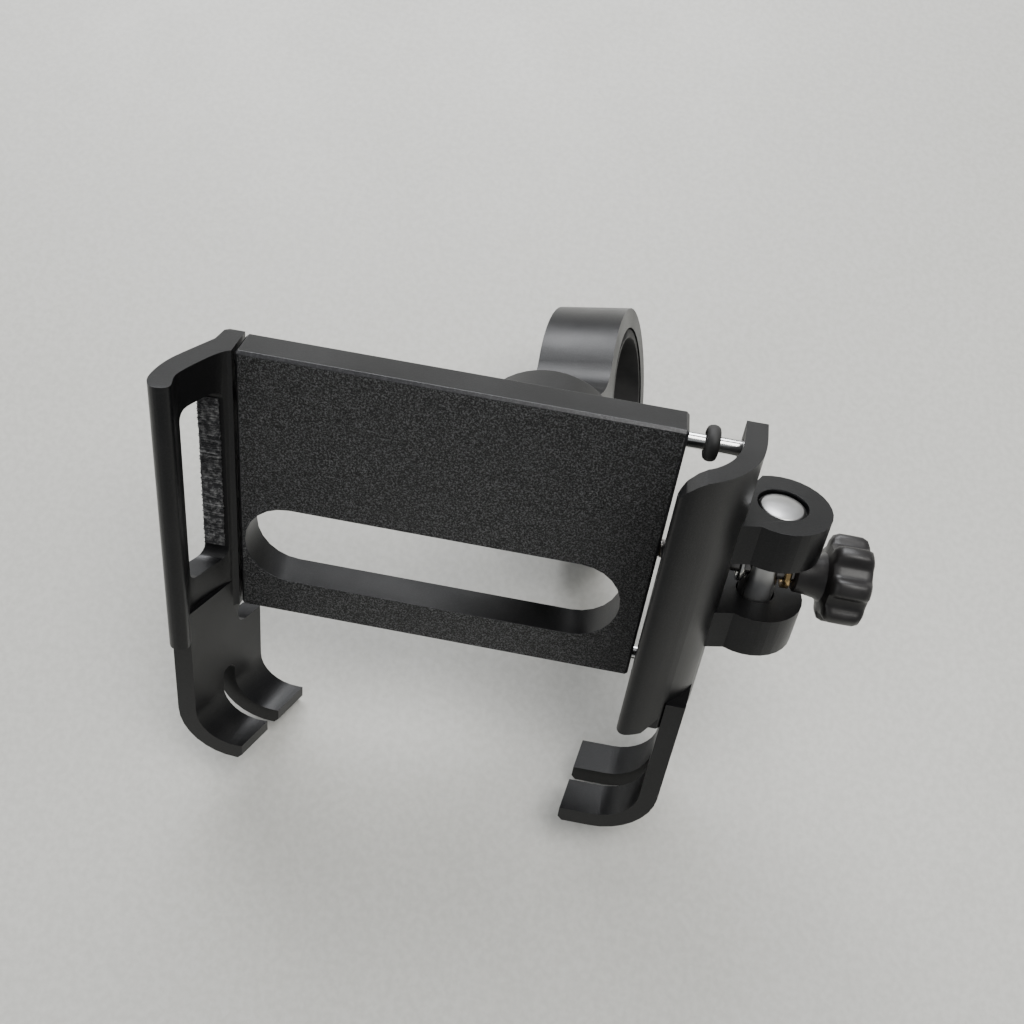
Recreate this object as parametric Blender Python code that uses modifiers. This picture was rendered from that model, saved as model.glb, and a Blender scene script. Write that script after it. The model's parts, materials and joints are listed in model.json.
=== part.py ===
"""Phone handlebar mount: a slotted back plate with a fixed jaw on the left and a screw-driven jaw on
the right, a ball joint behind the plate, and a split clamp for a 22.2 mm handlebar.

Lengths are in millimetres and MM turns them into metres. Pieces of the phone holder are drawn in the
holder's frame: X across the phone, Y from the phone towards the handlebar, Z up the phone, origin at the
middle of the plate's front face. Clamp pieces are drawn in the clamp's frame: X along the handlebar, Y
away from the ball, origin at the middle of the handlebar bore. Two empties place both frames so that the
object leans back on its two hooks and its clamp ring, with the origin under its middle.
"""

import math

import bmesh
import bpy
from mathutils import Matrix, Vector

MM = 0.001
GAP = 0.3  # clearance between pieces that touch

# Plate
PLATE_LEFT, PLATE_RIGHT = -28.8, 31.0
PLATE_HALF_HEIGHT = 22.0
PLATE_THICK = 5.5
MID = PLATE_THICK / 2
SLOT_LEFT, SLOT_RIGHT = -28.0 + 6.6, 27.5 - 6.6
SLOT_Z, SLOT_RADIUS = -9.0, 6.6
JAW_SCREW_Z = {"upper": 14.0, "lower": -18.4}

# Jaws and hooks
HOOK_FRONT, HOOK_BACK = -9.5, 5.2
HOOK_BOTTOM = -46.0
HOOK_THICK = 2.8
HOOK_RADIUS = 9.0
SLIT_Y, SLIT_WIDTH, SLIT_TOP = -2.2, 2.6, -35.0
FIXED_WALL = [
    (-28.5, 0.0), (-29.6, -0.3), (-30.7, -1.8), (-32.3, -5.2), (-33.3, -8.2), (-32.9, -10.6),
    (-33.3, -11.4), (-34.4, -11.8), (-35.5, -11.4), (-36.2, -9.8), (-36.1, -7.2), (-35.4, -4.4),
    (-33.9, -1.2), (-32.1, 2.4), (-31.8, 5.0), (-31.2, 5.5), (-28.5, 5.5),
]
MOVING_WALL = [
    (38.5, 5.5), (38.1, 0.6), (37.5, -2.4), (36.3, -5.0), (34.4, -7.2), (32.3, -8.5), (30.7, -9.4),
    (30.1, -10.4), (30.3, -11.5), (31.3, -11.9), (33.4, -11.1), (36.2, -9.2), (38.6, -6.5),
    (40.2, -3.4), (41.0, 0.2), (41.4, 5.5),
]

# Guide rods, lead screw, trunnion and knob
ROD_RADIUS, ROD_Z, ROD_INNER = 1.1, 19.3, -20.0
SCREW_Z, SCREW_RADIUS, SCREW_INNER = 1.0, 1.45, -12.0
EAR_X, EAR_RADIUS, EAR_THICK, EAR_GAP = 45.9, 6.8, 6.4, 8.8
PIN_RADIUS, PIN_HEAD_RADIUS = 2.5, 3.3
KNOB_RADIUS, KNOB_LOBES, KNOB_START, KNOB_THICK = 5.8, 7, 54.4, 5.6
STEM_START, STEM_RADIUS = 50.2, 3.1

# Ball joint, in the holder's frame
BALL = Vector((12.5, 12.7, 8.5))
BALL_RADIUS = 5.5
COLLAR_RADIUS = 10.8

# Handlebar clamp, in its own frame
BORE_CENTRE = Vector((18.9, 43.0, -1.0))
REACH = (BORE_CENTRE - BALL).length
BAR_RADIUS = 11.1
RING_INNER, RING_OUTER, RING_WIDTH = 12.8, 16.0, 12.0
SPLIT_ANGLE, SPLIT_GAP = math.radians(250), 1.2
NECK_HALF, NECK_BLEND, NECK_END, FOOT_RADIUS = 5.4, 8.0, 8.6, 7.4
LUG_REACH, LUG_THICK, BOLT_REACH, BOLT_RADIUS = 24.5, 4.5, 20.8, 1.5
BAR_AXIS = Vector((0.969, -0.116, 0.218))

# Stance: the whole object leans back until the hooks and the clamp share one floor. FOOT is the middle
# of its footprint, measured from the middle of the handlebar bore, and becomes the origin.
RECLINE = math.radians(33.15)
FOOT = Vector((-7.0, -26.248, -17.0))

for old in list(bpy.data.objects):
    bpy.data.objects.remove(old)
parts = bpy.data.collections.new("phone_handlebar_mount")
cutters = bpy.data.collections.new("cutters")
for collection in (parts, cutters):
    bpy.context.scene.collection.children.link(collection)


def material(name, colour, roughness, metallic):
    made = bpy.data.materials.new(name)
    made.use_nodes = True
    shader = made.node_tree.nodes["Principled BSDF"]
    shader.inputs["Base Color"].default_value = (*colour, 1.0)
    shader.inputs["Roughness"].default_value = roughness
    shader.inputs["Metallic"].default_value = metallic
    return made


ANODISED = material("black_anodised", (0.018, 0.018, 0.020), 0.45, 0.6)
STEEL = material("bright_steel", (0.62, 0.61, 0.58), 0.22, 1.0)
BRASS = material("brass", (0.72, 0.50, 0.22), 0.3, 1.0)
RUBBER = material("black_rubber", (0.02, 0.02, 0.02), 0.8, 0.0)
KNOB_BLACK = material("black_knob", (0.022, 0.021, 0.022), 0.5, 0.2)


def frame_empty(name, location, rotation):
    empty = bpy.data.objects.new(name, None)
    empty.location = location
    empty.rotation_mode = "QUATERNION"
    empty.rotation_quaternion = rotation.to_quaternion()
    parts.objects.link(empty)
    return empty


lean = Matrix.Rotation(-RECLINE, 3, "X")
HOLDER = frame_empty("holder_frame", -(lean @ BORE_CENTRE + FOOT) * MM, lean)
arm = (BORE_CENTRE - BALL).normalized()
across = (BAR_AXIS - arm * BAR_AXIS.dot(arm)).normalized()
clamp_turn = Matrix((across, arm, across.cross(arm))).transposed()
CLAMP = frame_empty("clamp_frame", -FOOT * MM, lean @ clamp_turn)


def add(name, mesh, paint, parent, smooth=30):
    """A named piece, or a cutter when paint is None."""
    made = bpy.data.objects.new(name, mesh)
    made.parent = parent
    if paint is None:
        cutters.objects.link(made)
        made.hide_render = True
        made.display_type = "WIRE"
        return made
    parts.objects.link(made)
    mesh.materials.clear()
    mesh.materials.append(paint)
    mesh.shade_smooth()
    mesh.set_sharp_from_angle(angle=math.radians(smooth))
    return made


def turn_to(direction):
    return Vector(direction).to_track_quat("Z", "Y").to_matrix().to_4x4()


def rod(name, start, end, radius, paint, parent, end_radius=None, sides=32):
    """A cylinder, or a cone with end_radius, between two points."""
    a, b = Vector(start) * MM, Vector(end) * MM
    bm = bmesh.new()
    bmesh.ops.create_cone(
        bm, cap_ends=True, segments=sides, radius1=radius * MM,
        radius2=(radius if end_radius is None else end_radius) * MM, depth=(b - a).length,
        matrix=Matrix.Translation((a + b) / 2) @ turn_to(b - a),
    )
    mesh = bpy.data.meshes.new(name)
    bm.to_mesh(mesh)
    bm.free()
    return add(name, mesh, paint, parent)


def block(name, low, high, paint, parent):
    low, high = Vector(low) * MM, Vector(high) * MM
    bm = bmesh.new()
    size = Matrix.Diagonal((*(high - low), 1.0))
    bmesh.ops.create_cube(bm, size=1.0, matrix=Matrix.Translation((low + high) / 2) @ size)
    mesh = bpy.data.meshes.new(name)
    bm.to_mesh(mesh)
    bm.free()
    return add(name, mesh, paint, parent)


def plate_of(name, outline, low, high, plane, paint, parent):
    """A flat outline given in the XY, XZ or YZ plane, as thick as low to high along the third axis."""
    curve = bpy.data.curves.new(name, "CURVE")
    curve.dimensions = "2D"
    curve.fill_mode = "BOTH"
    curve.extrude = (high - low) / 2 * MM
    spline = curve.splines.new("POLY")
    spline.points.add(len(outline) - 1)
    for point, (u, v) in zip(spline.points, outline):
        point.co = (u * MM, v * MM, 0, 1)
    spline.use_cyclic_u = True
    drawn = bpy.data.objects.new(name + "_outline", curve)
    cutters.objects.link(drawn)
    mesh = bpy.data.meshes.new_from_object(drawn.evaluated_get(bpy.context.evaluated_depsgraph_get()))
    bpy.data.objects.remove(drawn)
    middle = (low + high) / 2 * MM
    axes = {"XY": ((1, 0, 0), (0, 1, 0)), "XZ": ((1, 0, 0), (0, 0, 1)), "YZ": ((0, 1, 0), (0, 0, 1))}
    u, v = (Vector(axis) for axis in axes[plane])
    w = u.cross(v)
    third = Vector((abs(w.x), abs(w.y), abs(w.z)))
    place = Matrix.Translation(third * middle) @ Matrix((u, v, w)).transposed().to_4x4()
    bm = bmesh.new()
    bm.from_mesh(mesh)
    bmesh.ops.remove_doubles(bm, verts=bm.verts, dist=1e-7)
    bm.transform(place)
    bmesh.ops.recalc_face_normals(bm, faces=bm.faces)
    bm.to_mesh(mesh)
    bm.free()
    return add(name, mesh, paint, parent)


def turned(name, profile, centre, direction, paint, parent, steps=48):
    """A closed profile of (radius, height) points, turned about direction through centre."""
    bm = bmesh.new()
    loop = [bm.verts.new((r * MM, 0, h * MM)) for r, h in profile]
    edges = [bm.edges.new((a, b)) for a, b in zip(loop, loop[1:])]
    if profile[0][0] > 0:
        edges.append(bm.edges.new((loop[-1], loop[0])))
    bmesh.ops.spin(
        bm, geom=loop + edges, cent=(0, 0, 0), axis=(0, 0, 1), angle=math.tau, steps=steps,
        use_merge=True,
    )
    bmesh.ops.remove_doubles(bm, verts=bm.verts, dist=1e-7)
    bmesh.ops.recalc_face_normals(bm, faces=bm.faces)
    bm.transform(Matrix.Translation(Vector(centre) * MM) @ turn_to(direction))
    mesh = bpy.data.meshes.new(name)
    bm.to_mesh(mesh)
    bm.free()
    return add(name, mesh, paint, parent)


def combine(target, tool, operation="DIFFERENCE"):
    step = target.modifiers.new(tool.name, "BOOLEAN")
    step.operation = operation
    step.object = tool
    step.solver = "EXACT"


def bevel(target, width, segments=1, angle=40):
    edge = target.modifiers.new("edges", "BEVEL")
    edge.width = width * MM
    edge.segments = segments
    edge.limit_method = "ANGLE"
    edge.angle_limit = math.radians(angle)
    edge.use_clamp_overlap = True


def arc(cx, cy, radius, start, end, steps):
    """Points along an arc, angles in radians."""
    angles = [start + (end - start) * i / steps for i in range(steps + 1)]
    return [(cx + radius * math.cos(t), cy + radius * math.sin(t)) for t in angles]


def curve_through(points, steps=3):
    """A smooth run of points through the given ones."""
    ends = [points[0]] + points + [points[-1]]
    smooth = []
    for before, a, b, after in zip(ends, ends[1:], ends[2:], ends[3:]):
        for i in range(steps):
            t = i / steps
            smooth.append(tuple(
                (2 * q + (r - p) * t + (2 * p - 5 * q + 4 * r - s) * t ** 2 + (3 * q - p - 3 * r + s) * t ** 3) / 2
                for p, q, r, s in zip(before, a, b, after)
            ))
    return smooth + [points[-1]]


def stadium(u0, u1, v, radius, steps=12):
    """A slot outline from u0 to u1 between the centres of its round ends."""
    right = arc(u1, v, radius, -math.pi / 2, math.pi / 2, steps)
    return right + arc(u0, v, radius, math.pi / 2, 3 * math.pi / 2, steps)


def rounded_box(u0, v0, u1, v1, radius, steps=4):
    corners = [(u1, v0, -1), (u1, v1, 0), (u0, v1, 1), (u0, v0, 2)]
    outline = []
    for u, v, quarter in corners:
        cu = u - radius if u == u1 else u + radius
        cv = v - radius if v == v1 else v + radius
        outline += arc(cu, cv, radius, quarter * math.pi / 2, (quarter + 1) * math.pi / 2, steps)
    return outline


def hook(name, outer, side, lean_in, reach):
    """A strip that drops below a jaw and curls under the phone. side is -1 on the left jaw.

    reach is how far the tip runs past the middle of the curl."""
    inward = -side
    centre = outer + inward * HOOK_RADIUS
    level = HOOK_BOTTOM + HOOK_RADIUS
    tip = centre + inward * reach
    inner_radius = HOOK_RADIUS - HOOK_THICK
    start, end = (math.pi, 3 * math.pi / 2) if side < 0 else (0, -math.pi / 2)
    outline = [(outer, -17.0)] + arc(centre, level, HOOK_RADIUS, start, end, 8)
    outline += [(tip - inward * 0.7, HOOK_BOTTOM), (tip, HOOK_BOTTOM + 0.8), (tip, HOOK_BOTTOM + HOOK_THICK)]
    outline += arc(centre, level, inner_radius, end, start, 8) + [(outer + inward * HOOK_THICK, -17.0)]
    strip = plate_of(name, outline, HOOK_FRONT, HOOK_BACK, "XZ", None, HOLDER)
    shear = Matrix.Identity(4)
    shear[0][1] = lean_in
    shear[0][3] = -lean_in * HOOK_FRONT * MM
    strip.data.transform(shear)
    return strip


def slit(name, low, high):
    """The cutter that parts a hook into a front and a back finger."""
    half = SLIT_WIDTH / 2
    outline = arc(SLIT_Y, SLIT_TOP, half, 0, math.pi, 8) + [(SLIT_Y - half, -60), (SLIT_Y + half, -60)]
    return plate_of(name, outline, low, high, "YZ", None, HOLDER)


def base_plate():
    plate = block(
        "base_plate", (PLATE_LEFT, 0, -PLATE_HALF_HEIGHT), (PLATE_RIGHT, PLATE_THICK, PLATE_HALF_HEIGHT),
        ANODISED, HOLDER,
    )
    bevel(plate, 0.4, 1)
    outline = stadium(SLOT_LEFT, SLOT_RIGHT, SLOT_Z, SLOT_RADIUS)
    combine(plate, plate_of("slot_cutter", outline, -2, PLATE_THICK + 2, "XZ", None, HOLDER))
    for sign in (-1, 1):
        bore = rod(f"rod_bore_{sign}", (ROD_INNER - 3, MID, sign * ROD_Z), (PLATE_RIGHT + 3, MID, sign * ROD_Z),
                   ROD_RADIUS + 0.2, None, HOLDER, sides=16)
        combine(plate, bore)
    screw_bore = rod("screw_bore", (SCREW_INNER - 4, MID, SCREW_Z), (PLATE_RIGHT - 5, MID, SCREW_Z),
                     SCREW_RADIUS + GAP, None, HOLDER, sides=16)
    nut_bore = rod("nut_bore", (PLATE_RIGHT - 6.2, MID, SCREW_Z), (PLATE_RIGHT + 3, MID, SCREW_Z),
                   2.3, None, HOLDER, sides=24)
    combine(plate, screw_bore)
    combine(plate, nut_bore)
    for name, z in JAW_SCREW_Z.items():
        hole = rod(f"plate_screw_hole_{name}", (PLATE_LEFT - 3, MID, z), (PLATE_LEFT + 4.6, MID, z), 1.2,
                   None, HOLDER, sides=16)
        combine(plate, hole)
    nut = rod("lead_nut", (PLATE_RIGHT - 6, MID, SCREW_Z), (PLATE_RIGHT - 0.1, MID, SCREW_Z), 2.0, BRASS, HOLDER)
    combine(nut, rod("nut_thread", (PLATE_RIGHT - 9, MID, SCREW_Z), (PLATE_RIGHT + 3, MID, SCREW_Z),
                     SCREW_RADIUS + 0.2, None, HOLDER, sides=24))


def fixed_jaw():
    curved = curve_through(FIXED_WALL[1:14]) + FIXED_WALL[14:]
    outline = [(min(x, PLATE_LEFT - GAP), y) for x, y in [FIXED_WALL[0]] + curved]
    jaw = plate_of("fixed_jaw", outline, -PLATE_HALF_HEIGHT, PLATE_HALF_HEIGHT, "XY", ANODISED, HOLDER)
    combine(jaw, hook("fixed_hook", -36.0, -1, 0.373, 0.9), "UNION")
    side = PLATE_LEFT - GAP
    combine(jaw, block("plate_side", (side, -0.5, -PLATE_HALF_HEIGHT - GAP), (0, 12, 0), None, HOLDER))
    neck = rounded_box(0.3, -26.5, 12.0, -22.3, 1.6)
    combine(jaw, plate_of("hook_notch", neck, -40, -20, "YZ", None, HOLDER))
    combine(jaw, slit("fixed_slit", -45, -15))
    window = rounded_box(-8.0, -12.0, -0.9, 16.5, 1.6)
    combine(jaw, plate_of("window_cutter", window, -40, -25, "YZ", None, HOLDER))
    for name, z in JAW_SCREW_Z.items():
        combine(jaw, rod(f"shank_cutter_{name}", (-40, MID, z), (-25, MID, z), 1.3, None, HOLDER, sides=16))
        combine(jaw, rod(f"sink_cutter_{name}", (-40, MID, z), (-30.9, MID, z), 2.1, None, HOLDER, sides=24))
        screw = rod(f"jaw_screw_{name}", (-32.1, MID, z), (-31.2, MID, z), 1.8, STEEL, HOLDER)
        shank = rod(f"screw_shank_{name}", (-31.6, MID, z), (PLATE_LEFT + 4.2, MID, z), 0.95, None, HOLDER,
                    sides=16)
        combine(screw, shank, "UNION")
    bevel(jaw, 0.35, 1)


def ear_outline():
    """An ear of the trunnion bracket: a round end, a web to the jaw and a hollow fillet at the back."""
    fillet = [(38.6, 5.3), (41.0, 5.7), (42.0, 6.5), (42.7, 7.8)]
    round_end = arc(EAR_X, MID, EAR_RADIUS, math.radians(112), math.radians(-118), 20)
    return fillet + round_end + [(39.6, -4.0)]


def moving_jaw():
    jaw = plate_of("moving_jaw", curve_through(MOVING_WALL), -PLATE_HALF_HEIGHT, PLATE_HALF_HEIGHT, "XY", ANODISED, HOLDER)
    combine(jaw, hook("moving_hook", 39.0, 1, 0.165, 5.2), "UNION")
    middle = SCREW_Z
    for sign in (-1, 1):
        low = middle + (EAR_GAP / 2 if sign > 0 else -EAR_GAP / 2 - EAR_THICK)
        ear = plate_of(f"ear_{sign}", ear_outline(), low, low + EAR_THICK, "XY", None, HOLDER)
        combine(jaw, ear, "UNION")
    neck = rounded_box(2.6, -27.0, 14.0, -22.4, 1.6)
    combine(jaw, plate_of("moving_notch", neck, 30, 50, "YZ", None, HOLDER))
    corner = [(30, -30), (30, -24), (33.4, -22.2), (36.8, -18.6), (41, -14), (48, -14), (48, -30)]
    combine(jaw, plate_of("lip_corner", corner, -20, -9.6, "XZ", None, HOLDER))
    shoulder = [(28, 23), (28, 18.4), (30.2, 19.4), (31.0, 20.7), (32.2, 21.6), (33.6, 22.1), (33.6, 23)]
    combine(jaw, plate_of("lip_shoulder", shoulder, -20, -6.8, "XZ", None, HOLDER))
    combine(jaw, slit("moving_slit", 20, 50))
    for sign in (-1, 1):
        seat = rod(f"rod_seat_{sign}", (30, MID, sign * ROD_Z), (50, MID, sign * ROD_Z), ROD_RADIUS + 0.2,
                   None, HOLDER, sides=16)
        combine(jaw, seat)
    combine(jaw, rod("screw_clearance", (30, MID, middle), (EAR_X, MID, middle), 1.9, None, HOLDER, sides=24))
    combine(jaw, rod("pin_bore", (EAR_X, MID, middle - 12), (EAR_X, MID, middle + 12), PIN_RADIUS + 0.25,
                     None, HOLDER))
    top = middle + EAR_GAP / 2 + EAR_THICK
    combine(jaw, rod("head_recess", (EAR_X, MID, top - 0.9), (EAR_X, MID, top + 3), PIN_HEAD_RADIUS + 0.25,
                     None, HOLDER))
    bevel(jaw, 0.35, 1)
    return top


def jaw_hardware(top):
    for name, sign in (("upper", 1), ("lower", -1)):
        z = sign * ROD_Z
        rod(f"guide_rod_{name}", (ROD_INNER, MID, z), (40.9, MID, z), ROD_RADIUS, STEEL, HOLDER, sides=24)
        tube = [(1.85 + 0.62 * math.cos(t), 0.9 * math.sin(t)) for t in
                (math.tau * i / 12 for i in range(12))]
        turned(f"stop_ring_{name}", tube, (34.4, MID, z), (1, 0, 0), RUBBER, HOLDER, steps=28)
    bottom = SCREW_Z - EAR_GAP / 2 - EAR_THICK
    crown = [(0, top + 0.15), (1.7, top), (2.8, top - 0.25), (PIN_HEAD_RADIUS, top - 0.6)]
    shaft = [(PIN_RADIUS, top - 0.6), (PIN_RADIUS, bottom - 1.6), (PIN_RADIUS - 0.5, bottom - 2.0), (0, bottom - 2.0)]
    pin = turned("trunnion_pin", crown + shaft, (EAR_X, MID, 0), (0, 0, 1), STEEL, HOLDER, steps=32)
    combine(pin, rod("pin_cross_hole", (EAR_X - 9, MID, SCREW_Z), (EAR_X + 9, MID, SCREW_Z),
                     SCREW_RADIUS + 0.25, None, HOLDER, sides=24))
    groove = [(2.8, 0), (4.4, 0), (4.4, 0.7), (2.8, 0.7)]
    turned("pin_clip", groove, (EAR_X, MID, bottom - 1.05), (0, 0, 1), STEEL, HOLDER, steps=28)


def knob_outline():
    count = KNOB_LOBES * 8
    swell = [math.tau * i / count for i in range(count)]
    radii = [KNOB_RADIUS + 0.75 * math.tanh(2.0 * math.cos(KNOB_LOBES * t)) for t in swell]
    return [(MID + r * math.cos(t), SCREW_Z + r * math.sin(t)) for r, t in zip(radii, swell)]


def knob_and_screw():
    head = plate_of("knob", knob_outline(), KNOB_START, KNOB_START + KNOB_THICK, "YZ", KNOB_BLACK, HOLDER)
    bevel(head, 0.7, 1)
    stem = rod("knob_stem", (STEM_START, MID, SCREW_Z), (KNOB_START + 2, MID, SCREW_Z), STEM_RADIUS - 0.3,
               None, HOLDER, end_radius=STEM_RADIUS + 0.4)
    combine(head, stem, "UNION")
    combine(head, rod("knob_bore", (STEM_START - 3, MID, SCREW_Z), (KNOB_START + 4.2, MID, SCREW_Z),
                      SCREW_RADIUS + 0.2, None, HOLDER, sides=24))
    rod("lead_screw", (SCREW_INNER, MID, SCREW_Z), (KNOB_START + 3.9, MID, SCREW_Z), SCREW_RADIUS, STEEL, HOLDER,
        sides=24)
    washer = [(SCREW_RADIUS + 0.2, 0), (2.5, 0), (2.5, 0.9), (SCREW_RADIUS + 0.2, 0.9)]
    outer_face = EAR_X + PIN_RADIUS + 0.35
    turned("thrust_washer", washer, (outer_face, MID, SCREW_Z), (1, 0, 0), BRASS, HOLDER, steps=28)
    clip = [(SCREW_RADIUS + 0.2, 0), (2.6, 0), (2.6, 0.6), (SCREW_RADIUS + 0.2, 0.6)]
    inner_face = EAR_X - PIN_RADIUS - 0.95
    turned("screw_clip", clip, (inner_face, MID, SCREW_Z), (1, 0, 0), STEEL, HOLDER, steps=28)


def sphere_arc(radius, start, end, steps):
    """(radius, height) points on a ball, by polar angle in degrees from the turning axis."""
    angles = [math.radians(start + (end - start) * i / steps) for i in range(steps + 1)]
    return [(max(radius * math.sin(t), 0.0), radius * math.cos(t)) for t in angles]


def ball_joint():
    floor = PLATE_THICK + GAP - BALL.y
    cavity = sphere_arc(BALL_RADIUS + GAP, 180, 95.5, 8)
    cup = [(0, floor), (9.2, floor), (9.2, 0.2)] + cavity[::-1]
    turned("socket_cup", cup, BALL, (0, 1, 0), ANODISED, HOLDER)
    seat = sphere_arc(BALL_RADIUS + GAP, 60, 82, 4)
    rim = seat[0][1]
    collar = seat + [(9.5, seat[-1][1]), (9.5, floor + 0.6), (COLLAR_RADIUS, floor + 0.6),
                     (COLLAR_RADIUS, rim - 1.0), (COLLAR_RADIUS - 0.8, rim), (7.4, rim)]
    turned("locking_collar", collar, BALL, (0, 1, 0), ANODISED, HOLDER)


def ring_point(reach, offset, angle):
    """A (Y, Z) point at a reach along angle and an offset across it, in the clamp's frame."""
    c, s = math.cos(angle), math.sin(angle)
    return (reach * c - offset * s, reach * s + offset * c)


def clamp_outline():
    """The split ring with its two lugs and the arm that blends into a square neck, as one outline."""
    near, far = SPLIT_GAP / 2, SPLIT_GAP / 2 + LUG_THICK
    foot_near = math.sqrt(RING_INNER ** 2 - near ** 2)
    foot_far = math.sqrt(RING_OUTER ** 2 - far ** 2)
    lug_angle = math.asin(far / RING_OUTER)
    gap_angle = math.asin(near / RING_INNER)
    blend_z = NECK_HALF + NECK_BLEND
    blend_y = -math.sqrt((RING_OUTER + NECK_BLEND) ** 2 - blend_z ** 2)
    swing = math.atan2(blend_z, -blend_y)
    end = -REACH + NECK_END
    first_lug = [(foot_near, near), (LUG_REACH, near), (LUG_REACH, far), (foot_far, far)]
    last_lug = [(foot_far, -far), (LUG_REACH, -far), (LUG_REACH, -near), (foot_near, -near)]
    outline = [ring_point(reach, offset, SPLIT_ANGLE) for reach, offset in first_lug]
    outline += arc(0, 0, RING_OUTER, SPLIT_ANGLE + lug_angle, 3 * math.pi - swing, 30)[1:-1]
    outline += arc(blend_y, blend_z, NECK_BLEND, -swing, -math.pi / 2, 6)
    outline += [(end, NECK_HALF), (end, -NECK_HALF)]
    outline += arc(blend_y, -blend_z, NECK_BLEND, math.pi / 2, swing, 6)
    outline += arc(0, 0, RING_OUTER, math.pi + swing, SPLIT_ANGLE - lug_angle, 3)[1:-1]
    outline += [ring_point(reach, offset, SPLIT_ANGLE) for reach, offset in last_lug]
    outline += arc(0, 0, RING_INNER, SPLIT_ANGLE - gap_angle, SPLIT_ANGLE + gap_angle - math.tau, 48)[1:-1]
    return outline


def clamp():
    half = RING_WIDTH / 2
    body = plate_of("clamp_arm", clamp_outline(), -half, half, "YZ", ANODISED, CLAMP)
    end = -REACH + NECK_END
    combine(body, rod("foot", (0, end - 0.01, 0), (0, end + 6.0, 0), FOOT_RADIUS, None, CLAMP, end_radius=5.0),
            "UNION")
    combine(body, rod("stud_socket", (0, end - 3, 0), (0, end + 4.6, 0), 2.8, None, CLAMP))
    ball = sphere_arc(BALL_RADIUS, 0, 153, 14)
    stud = [(2.5, -NECK_END - 4.2), (0, -NECK_END - 4.2)]
    turned("ball_stud", ball + stud, (0, -REACH, 0), (0, -1, 0), STEEL, CLAMP, steps=40)
    face = SPLIT_GAP / 2 + LUG_THICK
    offsets = (-face - 3, face + 3, face + GAP, face + 3.1, -face + 0.5, face + 1.2, face + 5)
    points = [(0, *ring_point(BOLT_REACH, offset, SPLIT_ANGLE)) for offset in offsets]
    low, high, seat, top, tip, key_floor, key_top = points
    combine(body, rod("bolt_hole", low, high, BOLT_RADIUS + 0.25, None, CLAMP, sides=24))
    bevel(body, 0.5, 1, 50)
    bolt = rod("clamp_bolt", seat, top, 2.7, STEEL, CLAMP)
    combine(bolt, rod("bolt_shank", points[5], tip, BOLT_RADIUS, None, CLAMP, sides=24), "UNION")
    combine(bolt, rod("hex_socket", key_floor, key_top, 1.25, None, CLAMP, sides=6))
    liner_half = half - 0.2
    start, stop = SPLIT_ANGLE + 0.09, SPLIT_ANGLE + math.tau - 0.09
    liner = arc(0, 0, RING_INNER - GAP, start, stop, 44) + arc(0, 0, BAR_RADIUS, stop, start, 44)
    plate_of("bar_liner", liner, -liner_half, liner_half, "YZ", RUBBER, CLAMP)


base_plate()
fixed_jaw()
jaw_hardware(moving_jaw())
knob_and_screw()
ball_joint()
clamp()
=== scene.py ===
"""Looks for the phone handlebar mount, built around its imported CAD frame. Lengths are in metres."""

import json
import math
import random

import bpy
from mathutils import Matrix, Vector


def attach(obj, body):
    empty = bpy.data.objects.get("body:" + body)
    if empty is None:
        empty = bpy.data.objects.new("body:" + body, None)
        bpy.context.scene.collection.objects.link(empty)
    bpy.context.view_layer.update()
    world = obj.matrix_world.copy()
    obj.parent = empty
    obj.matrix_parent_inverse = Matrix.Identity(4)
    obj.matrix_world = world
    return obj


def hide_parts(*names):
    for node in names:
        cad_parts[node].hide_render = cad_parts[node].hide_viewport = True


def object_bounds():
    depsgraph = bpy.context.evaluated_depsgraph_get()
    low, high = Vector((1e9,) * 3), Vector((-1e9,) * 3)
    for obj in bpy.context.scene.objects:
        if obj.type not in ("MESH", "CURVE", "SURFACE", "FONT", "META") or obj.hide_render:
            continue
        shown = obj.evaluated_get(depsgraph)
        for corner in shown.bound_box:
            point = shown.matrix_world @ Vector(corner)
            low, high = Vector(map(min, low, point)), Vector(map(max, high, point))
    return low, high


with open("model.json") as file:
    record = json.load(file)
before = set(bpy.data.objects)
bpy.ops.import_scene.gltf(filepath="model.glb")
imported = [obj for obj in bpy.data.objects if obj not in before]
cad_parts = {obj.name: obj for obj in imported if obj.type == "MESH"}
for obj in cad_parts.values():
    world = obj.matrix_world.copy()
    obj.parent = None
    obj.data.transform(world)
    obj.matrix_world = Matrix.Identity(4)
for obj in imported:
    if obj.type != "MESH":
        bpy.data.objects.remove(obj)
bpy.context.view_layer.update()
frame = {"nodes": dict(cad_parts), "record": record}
MM = 0.001

# The holder's frame: X across the phone, Y from the phone towards the bar, Z up the phone,
# with its origin at the middle of the plate's front face.
bed = next(m for m in frame["record"]["mounts"] if m["name"] == "phone_bed")
HOLDER_Y = -Vector(bed["axis"]).normalized()
HOLDER_X = Vector((1, 0, 0))
HOLDER_Z = HOLDER_X.cross(HOLDER_Y)
BED_HEIGHT = 8 * MM    # how far up the plate the phone_bed mount sits from its middle
ORIGIN = Vector(bed["pos_m"]) - HOLDER_Z * BED_HEIGHT
TURN = Matrix((HOLDER_X, HOLDER_Y, HOLDER_Z)).transposed()
HOLDER = Matrix.Translation(ORIGIN) @ TURN.to_4x4()
SCREW_Y, SCREW_Z = 2.75, 1.0    # the lead screw's axis, in millimetres of the holder's frame

WELD_DISTANCE = 1e-6
BEVEL_ANGLE, SHARP_ANGLE, PIECE_SHARP_ANGLE = math.radians(32), math.radians(28), math.radians(40)


def holder_box(node):
    """A node's extent in the holder's frame, in millimetres."""
    inverse = HOLDER.inverted()
    points = [inverse @ v.co / MM for v in frame["nodes"][node].data.vertices]
    low = [min(p[i] for p in points) for i in range(3)]
    high = [max(p[i] for p in points) for i in range(3)]
    return low, high


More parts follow.
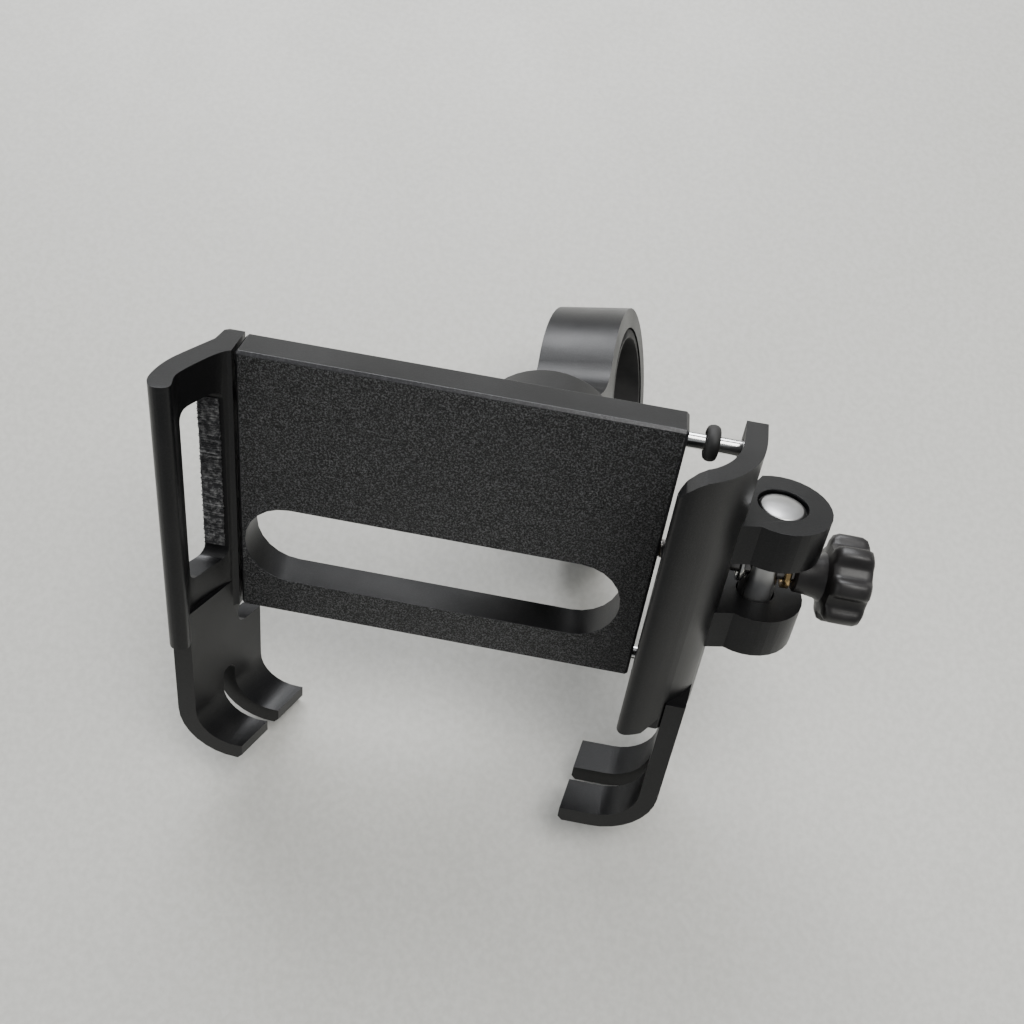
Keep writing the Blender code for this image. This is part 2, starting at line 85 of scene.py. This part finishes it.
# ---------------------------------------------------------------- materials
class Paint:
    """A Principled material with small helpers for its procedural detail."""

    def __init__(self, name, colour, roughness, metallic=0.0):
        self.made = bpy.data.materials.new(name)
        self.made.use_nodes = True
        self.nodes = self.made.node_tree.nodes
        self.links = self.made.node_tree.links
        self.shader = self.nodes["Principled BSDF"]
        self.shader.inputs["Base Color"].default_value = (*colour, 1)
        self.shader.inputs["Roughness"].default_value = roughness
        self.shader.inputs["Metallic"].default_value = metallic
        self.where = self.nodes.new("ShaderNodeTexCoord").outputs["Object"]

    def noise(self, scale, detail=3.0, stretch=None, roughness=0.55):
        texture = self.nodes.new("ShaderNodeTexNoise")
        texture.inputs["Scale"].default_value = scale
        texture.inputs["Detail"].default_value = detail
        texture.inputs["Roughness"].default_value = roughness
        source = self.where
        if stretch:
            mapping = self.nodes.new("ShaderNodeMapping")
            mapping.inputs["Scale"].default_value = stretch
            self.links.new(source, mapping.inputs["Vector"])
            source = mapping.outputs["Vector"]
        self.links.new(source, texture.inputs["Vector"])
        return texture.outputs["Fac"]

    def ramp(self, source, low, high, start, end):
        ramp = self.nodes.new("ShaderNodeValToRGB")
        first, last = ramp.color_ramp.elements
        first.position, last.position = start, end
        first.color = (*low, 1)
        last.color = (*high, 1)
        self.links.new(source, ramp.inputs["Fac"])
        return ramp.outputs["Color"]

    def spread(self, source, low, high, start=0.3, end=0.7):
        """Maps a texture onto a plain range."""
        scale = self.nodes.new("ShaderNodeMapRange")
        for key, value in zip(("From Min", "From Max", "To Min", "To Max"), (start, end, low, high)):
            scale.inputs[key].default_value = value
        self.links.new(source, scale.inputs["Value"])
        return scale.outputs["Result"]

    def mix(self, factor, a, b):
        node = self.nodes.new("ShaderNodeMix")
        node.data_type = "RGBA"
        self.links.new(factor, node.inputs["Factor"])
        # Inputs 6 and 7 and output 2 are the node's colour sockets.
        for socket, value in ((node.inputs[6], a), (node.inputs[7], b)):
            if isinstance(value, tuple):
                socket.default_value = (*value, 1)
            else:
                self.links.new(value, socket)
        return node.outputs[2]

    def bump(self, source, strength, distance):
        bump = self.nodes.new("ShaderNodeBump")
        bump.inputs["Strength"].default_value = strength
        bump.inputs["Distance"].default_value = distance
        self.links.new(source, bump.inputs["Height"])
        before = self.shader.inputs["Normal"].links
        if before:
            self.links.new(before[0].from_socket, bump.inputs["Normal"])
        self.links.new(bump.outputs["Normal"], self.shader.inputs["Normal"])

    def colour(self, source):
        self.links.new(source, self.shader.inputs["Base Color"])

    def rough(self, source):
        self.links.new(source, self.shader.inputs["Roughness"])


def anodised(name, grain, depth, low, high, rough_low, rough_high):
    """Black anodised aluminium over a blasted or a machined surface, with faint handling marks."""
    paint = Paint(name, low, 0.5, 0.2)
    fine = paint.noise(grain, 3.0, roughness=0.7)
    broad = paint.noise(90.0, 3.0)
    base = paint.ramp(fine, low, high, 0.46, 0.68)
    rubbed = paint.spread(broad, 0.0, 0.22, 0.5, 0.75)
    paint.colour(paint.mix(rubbed, base, (0.03, 0.03, 0.031)))
    paint.rough(paint.spread(broad, rough_low, rough_high))
    paint.bump(fine, 0.8, depth)
    return paint.made


def polished(name, colour, stretch, roughness):
    """Bright metal with fine turning lines and faint smears."""
    paint = Paint(name, colour, roughness, 1.0)
    lines = paint.noise(900.0, 2.0, stretch)
    smear = paint.noise(160.0, 3.0)
    darker = tuple(c * 0.72 for c in colour)
    paint.colour(paint.ramp(smear, darker, colour, 0.3, 0.6))
    paint.rough(paint.spread(smear, roughness * 0.7, roughness * 1.7))
    paint.bump(lines, 0.25, 0.00001)
    return paint.made


def moulded(name, low, high, rough_low, rough_high, grain, depth):
    """Rubber or plastic with a fine grain and a slightly uneven shade."""
    paint = Paint(name, low, 0.6)
    fine = paint.noise(grain, 3.0)
    broad = paint.noise(220.0, 3.0)
    paint.colour(paint.ramp(broad, low, high, 0.35, 0.7))
    paint.rough(paint.spread(broad, rough_low, rough_high))
    paint.bump(fine, 0.4, depth)
    return paint.made


# Blasted grain for the plate's front; its light grey upper colour is painted sheen, the highlight the
# front face shows towards the light.
BLASTED_SHEEN = anodised("blasted_black_painted_sheen", 4000.0, 0.0003,
                   (0.002, 0.002, 0.0025), (0.15, 0.152, 0.155), 0.26, 0.38)
SATIN = anodised("satin_black", 4200.0, 0.00002,
                 (0.003, 0.003, 0.0035), (0.009, 0.009, 0.010), 0.30, 0.42)
# Lighter colour for bevel and sloping edge faces: painted edge highlight as well as edge wear.
EDGE_WEAR_AND_HIGHLIGHT = anodised("edge_wear_and_painted_highlight", 3000.0, 0.00002,
                  (0.028, 0.028, 0.030), (0.060, 0.060, 0.063), 0.24, 0.36)
STEEL = polished("polished_steel", (0.66, 0.65, 0.62), (1, 1, 6), 0.16)
PIN = polished("brushed_pin", (0.50, 0.50, 0.50), (1, 1, 6), 0.30)
CHROME = polished("chrome_rod", (0.72, 0.72, 0.71), (8, 1, 1), 0.10)
DARK_STEEL = polished("screw_steel", (0.30, 0.29, 0.28), (6, 1, 1), 0.30)
BRASS = polished("turned_brass", (0.60, 0.42, 0.20), (8, 1, 1), 0.25)
RUBBER = moulded("black_rubber", (0.010, 0.010, 0.010), (0.026, 0.025, 0.024),
                 0.55, 0.75, 1500.0, 0.00004)
KNOB = moulded("knob_black", (0.010, 0.009, 0.009), (0.020, 0.018, 0.018),
               0.34, 0.48, 2600.0, 0.00004)
# The window ribs' lighter grey is painted highlight along the window's edge; the ribs themselves are
# chatter marks.
CHATTER_AND_HIGHLIGHT = anodised("machined_window_painted_highlight", 1500.0, 0.00005,
                   (0.03, 0.03, 0.032), (0.22, 0.22, 0.22), 0.3, 0.45)

FINISH = {
    "base_plate": SATIN, "fixed_jaw": SATIN, "moving_jaw": SATIN, "clamp_arm": SATIN,
    "locking_collar": SATIN, "socket_cup": SATIN, "ball_stud": STEEL, "clamp_bolt": DARK_STEEL,
    "bar_liner": RUBBER, "stop_ring_upper": RUBBER, "stop_ring_lower": RUBBER,
    "guide_rod_upper": CHROME, "guide_rod_lower": CHROME, "trunnion_pin": PIN,
    "pin_clip": DARK_STEEL, "screw_clip": STEEL, "thrust_washer": BRASS,
    "lead_nut": BRASS, "lead_screw": DARK_STEEL,
    "jaw_screw_upper": DARK_STEEL, "jaw_screw_lower": DARK_STEEL, "knob": KNOB,
}
# Pieces with eased edges, and the width of each bevel in millimetres.
EASED = {
    "base_plate": 0.28, "fixed_jaw": 0.3, "moving_jaw": 0.3, "clamp_arm": 0.35,
    "locking_collar": 0.35,
}

for name, node in frame["nodes"].items():
    node.data.materials.clear()
    node.data.materials.append(FINISH[name])
    node.data.shade_smooth()
    weld = node.modifiers.new("weld", "WELD")
    weld.merge_threshold = WELD_DISTANCE
    if name in EASED:
        edge = node.modifiers.new("eased_edges", "BEVEL")
        edge.width = EASED[name] * MM
        edge.segments = 3
        edge.limit_method = "ANGLE"
        edge.angle_limit = BEVEL_ANGLE
        # The bevel faces get the lighter edge colour: painted edge highlight as well as edge wear.
        node.data.materials.append(EDGE_WEAR_AND_HIGHLIGHT)
        edge.material = 1
    node.modifiers.new("even_shading", "WEIGHTED_NORMAL").keep_sharp = True
    node.data.set_sharp_from_angle(angle=SHARP_ANGLE)


def blast_and_sheen_front(node):
    """Blasts the plate's front face, whose lighter grey is painted sheen, and gives its sloping front
    corners the lighter edge colour, painted edge highlight as well as wear; every other side stays
    satin.
    """
    flat, sloping = 0.98, 0.12
    edge_wear_highlight_slot, blasted_sheen_slot = 1, 2
    node.data.materials.append(BLASTED_SHEEN)
    for face in node.data.polygons:
        facing = face.normal.dot(-HOLDER_Y)
        if facing > flat:
            face.material_index = blasted_sheen_slot
        elif facing > sloping:
            face.material_index = edge_wear_highlight_slot


blast_and_sheen_front(frame["nodes"]["base_plate"])


# ---------------------------------------------------------------- detailed pieces
def grid_piece(name, rings, paint, body):
    """Rings of holder-frame points in millimetres, joined into one skin and capped at both ends."""
    points = [HOLDER @ (Vector(p) * MM) for ring in rings for p in ring]
    count = len(rings[0])
    faces = []
    for i in range(len(rings) - 1):
        for j in range(count):
            k = (j + 1) % count
            faces.append((i * count + j, i * count + k, (i + 1) * count + k, (i + 1) * count + j))
    faces.append(tuple(range(count))[::-1])
    faces.append(tuple(range((len(rings) - 1) * count, len(rings) * count)))
    mesh = bpy.data.meshes.new(name)
    mesh.from_pydata(points, [], faces)
    mesh.validate()
    mesh.update()
    mesh.shade_smooth()
    mesh.set_sharp_from_angle(angle=PIECE_SHARP_ANGLE)
    mesh.materials.append(paint)
    piece = bpy.data.objects.new(name, mesh)
    bpy.context.scene.collection.objects.link(piece)
    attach(piece, body)
    return piece


def lead_screw():
    """The threaded screw, with a rounded thread of one millimetre pitch and a chamfered tip."""
    low, high = holder_box("lead_screw")
    pitch, crest, depth, sides, rows = 1.0, 1.45, 0.22, 20, 7
    threaded_end, shank_radius, chamfer = 39.0, 1.38, 0.5
    rings = []
    steps = int((threaded_end - low[0]) / pitch * rows)
    stations = [low[0] + (threaded_end - low[0]) * i / steps for i in range(steps + 1)]
    stations += [threaded_end + 0.2, high[0]]
    for x in stations:
        ring = []
        for j in range(sides):
            turn = math.tau * j / sides
            wave = 0.5 - 0.5 * math.cos(math.tau * x / pitch - turn)
            radius = crest - depth * wave ** 0.7 if x <= threaded_end else shank_radius
            if x < low[0] + chamfer:
                radius = min(radius, crest - chamfer + (x - low[0]))
            ring.append((x, SCREW_Y + radius * math.cos(turn), SCREW_Z + radius * math.sin(turn)))
        rings.append(ring)
    piece = grid_piece("screw_thread", rings, DARK_STEEL, "knob")
    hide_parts("lead_screw")


def knob():
    """A seven-lobed thumb knob with rounded edges, a shallow dish on its face and a waisted stem."""
    low, high = holder_box("knob")
    start, end, lobes, sides = low[0], high[0], 7, 140
    lobe_height, lobe_steepness, head_thick = 0.72, 1.9, 5.6
    head = end - head_thick
    # Place along the axis, radius, and how much of the lobes shows there.
    profile = [
        (start, 1.75, 0), (start, 2.4, 0), (start + 0.3, 2.75, 0), (start + 1.4, 2.8, 0),
        (head - 1.0, 3.1, 0), (head - 0.25, 3.5, 0), (head, 4.3, 0.1), (head + 0.12, 5.1, 0.45),
        (head + 0.5, 5.6, 0.8), (head + 1.2, 5.78, 1), (head + 2.8, 5.8, 1), (head + 4.4, 5.78, 1),
        (end - 0.5, 5.6, 0.8), (end - 0.12, 5.1, 0.45), (end, 4.5, 0.15), (end - 0.1, 3.8, 0),
        (end - 0.45, 3.0, 0), (end - 0.5, 1.4, 0),
    ]
    rings = []
    for x, radius, share in profile:
        ring = []
        for j in range(sides):
            turn = math.tau * j / sides
            lobe = lobe_height * math.tanh(lobe_steepness * math.cos(lobes * turn)) * share
            r = radius + lobe
            ring.append((x, SCREW_Y + r * math.cos(turn), SCREW_Z + r * math.sin(turn)))
        rings.append(ring)
    piece = grid_piece("thumb_knob", rings, KNOB, "knob")
    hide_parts("knob")


def window_ribs():
    """Chatter marks left by the cutter on the window's back edge: ribs across its thickness, in a
    lighter grey that is painted highlight along the window's edge.
    """
    random.seed(7)
    back, sunk = -0.9, 0.05
    x_in, x_middle, x_out = -30.7, -32.2, -33.7
    z, z_end, step = -10.2, 14.8, 0.26
    rings = []
    while z < z_end:
        proud = random.uniform(0.08, 0.34)
        shift = random.uniform(-0.12, 0.12)
        for dz, share in ((0.0, 0.15), (step * 0.35, 1.0), (step * 0.65, 0.95)):
            front = back - 0.02 - proud * share
            rings.append([
                (x_in + shift * share, back + sunk, z + dz),
                (x_in + shift * share, front, z + dz),
                (x_middle + shift, front - sunk * share, z + dz),
                (x_out + shift * share, front, z + dz),
                (x_out + shift * share, back + sunk, z + dz),
            ])
        z += step * random.uniform(0.8, 1.5)
    grid_piece("window_chatter_painted_highlight", rings, CHATTER_AND_HIGHLIGHT, "holder")


lead_screw()
knob()
window_ribs()


# ---------------------------------------------------------------- floor, light and camera
floor_mesh = bpy.data.meshes.new("floor")
half, gap = 1.6, 0.0002
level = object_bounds()[0][2] - gap
corners = [(-half, -half, level), (half, -half, level), (half, half, level), (-half, half, level)]
floor_mesh.from_pydata(corners, [], [(0, 1, 2, 3)])
floor = bpy.data.objects.new("floor", floor_mesh)
bpy.context.scene.collection.objects.link(floor)
desk = Paint("pale_desk", (0.62, 0.61, 0.58), 0.42)
desk.colour(desk.ramp(desk.noise(900.0, 3.0), (0.56, 0.555, 0.52), (0.62, 0.615, 0.58), 0.35, 0.65))
desk.rough(desk.spread(desk.noise(30.0, 2.0), 0.36, 0.5))
desk.bump(desk.noise(1400.0, 2.0), 0.12, 0.0001)
floor.data.materials.append(desk.made)


def area_light(name, place, target, size, power, tint=(1, 1, 1)):
    data = bpy.data.lights.new(name, "AREA")
    data.shape = "RECTANGLE"
    data.size, data.size_y = size
    data.energy = power
    data.color = tint
    lamp = bpy.data.objects.new(name, data)
    lamp.location = place
    lamp.rotation_euler = (Vector(target) - Vector(place)).to_track_quat("-Z", "Y").to_euler()
    bpy.context.scene.collection.objects.link(lamp)


middle = (0.007, -0.004, 0.017)
area_light("back_window", (-0.24, 0.83, 0.64), middle, (0.9, 0.5), 15.0, (0.97, 0.98, 1.0))
area_light("overhead", (0.31, 0.13, 0.97), middle, (0.6, 0.5), 7.0, (1.0, 0.99, 0.96))
area_light("left_fill", (-0.79, -0.22, 0.42), middle, (0.5, 0.5), 1.2)

world = bpy.data.worlds.new("studio")
world.use_nodes = True
world.node_tree.nodes["Background"].inputs["Color"].default_value = (0.80, 0.82, 0.84, 1)
world.node_tree.nodes["Background"].inputs["Strength"].default_value = 0.38
bpy.context.scene.world = world

# The camera in the holder's frame: its place in millimetres, and its right and down directions.
EYE = Vector((15.88, -121.0, 93.78))
RIGHT = Vector((0.98308, 0.13698, 0.12164))
DOWN = Vector((0.17908, -0.57851, -0.79577))
camera_data = bpy.data.cameras.new("camera")
camera_data.sensor_width = 36
camera_data.lens = 38.44
camera_data.clip_start = 0.005
camera = bpy.data.objects.new("camera", camera_data)
ahead = RIGHT.cross(DOWN)
axes = Matrix((RIGHT, -DOWN, -ahead)).transposed()
camera.matrix_world = HOLDER @ (Matrix.Translation(EYE * MM) @ axes.to_4x4())
bpy.context.scene.collection.objects.link(camera)
bpy.context.scene.camera = camera
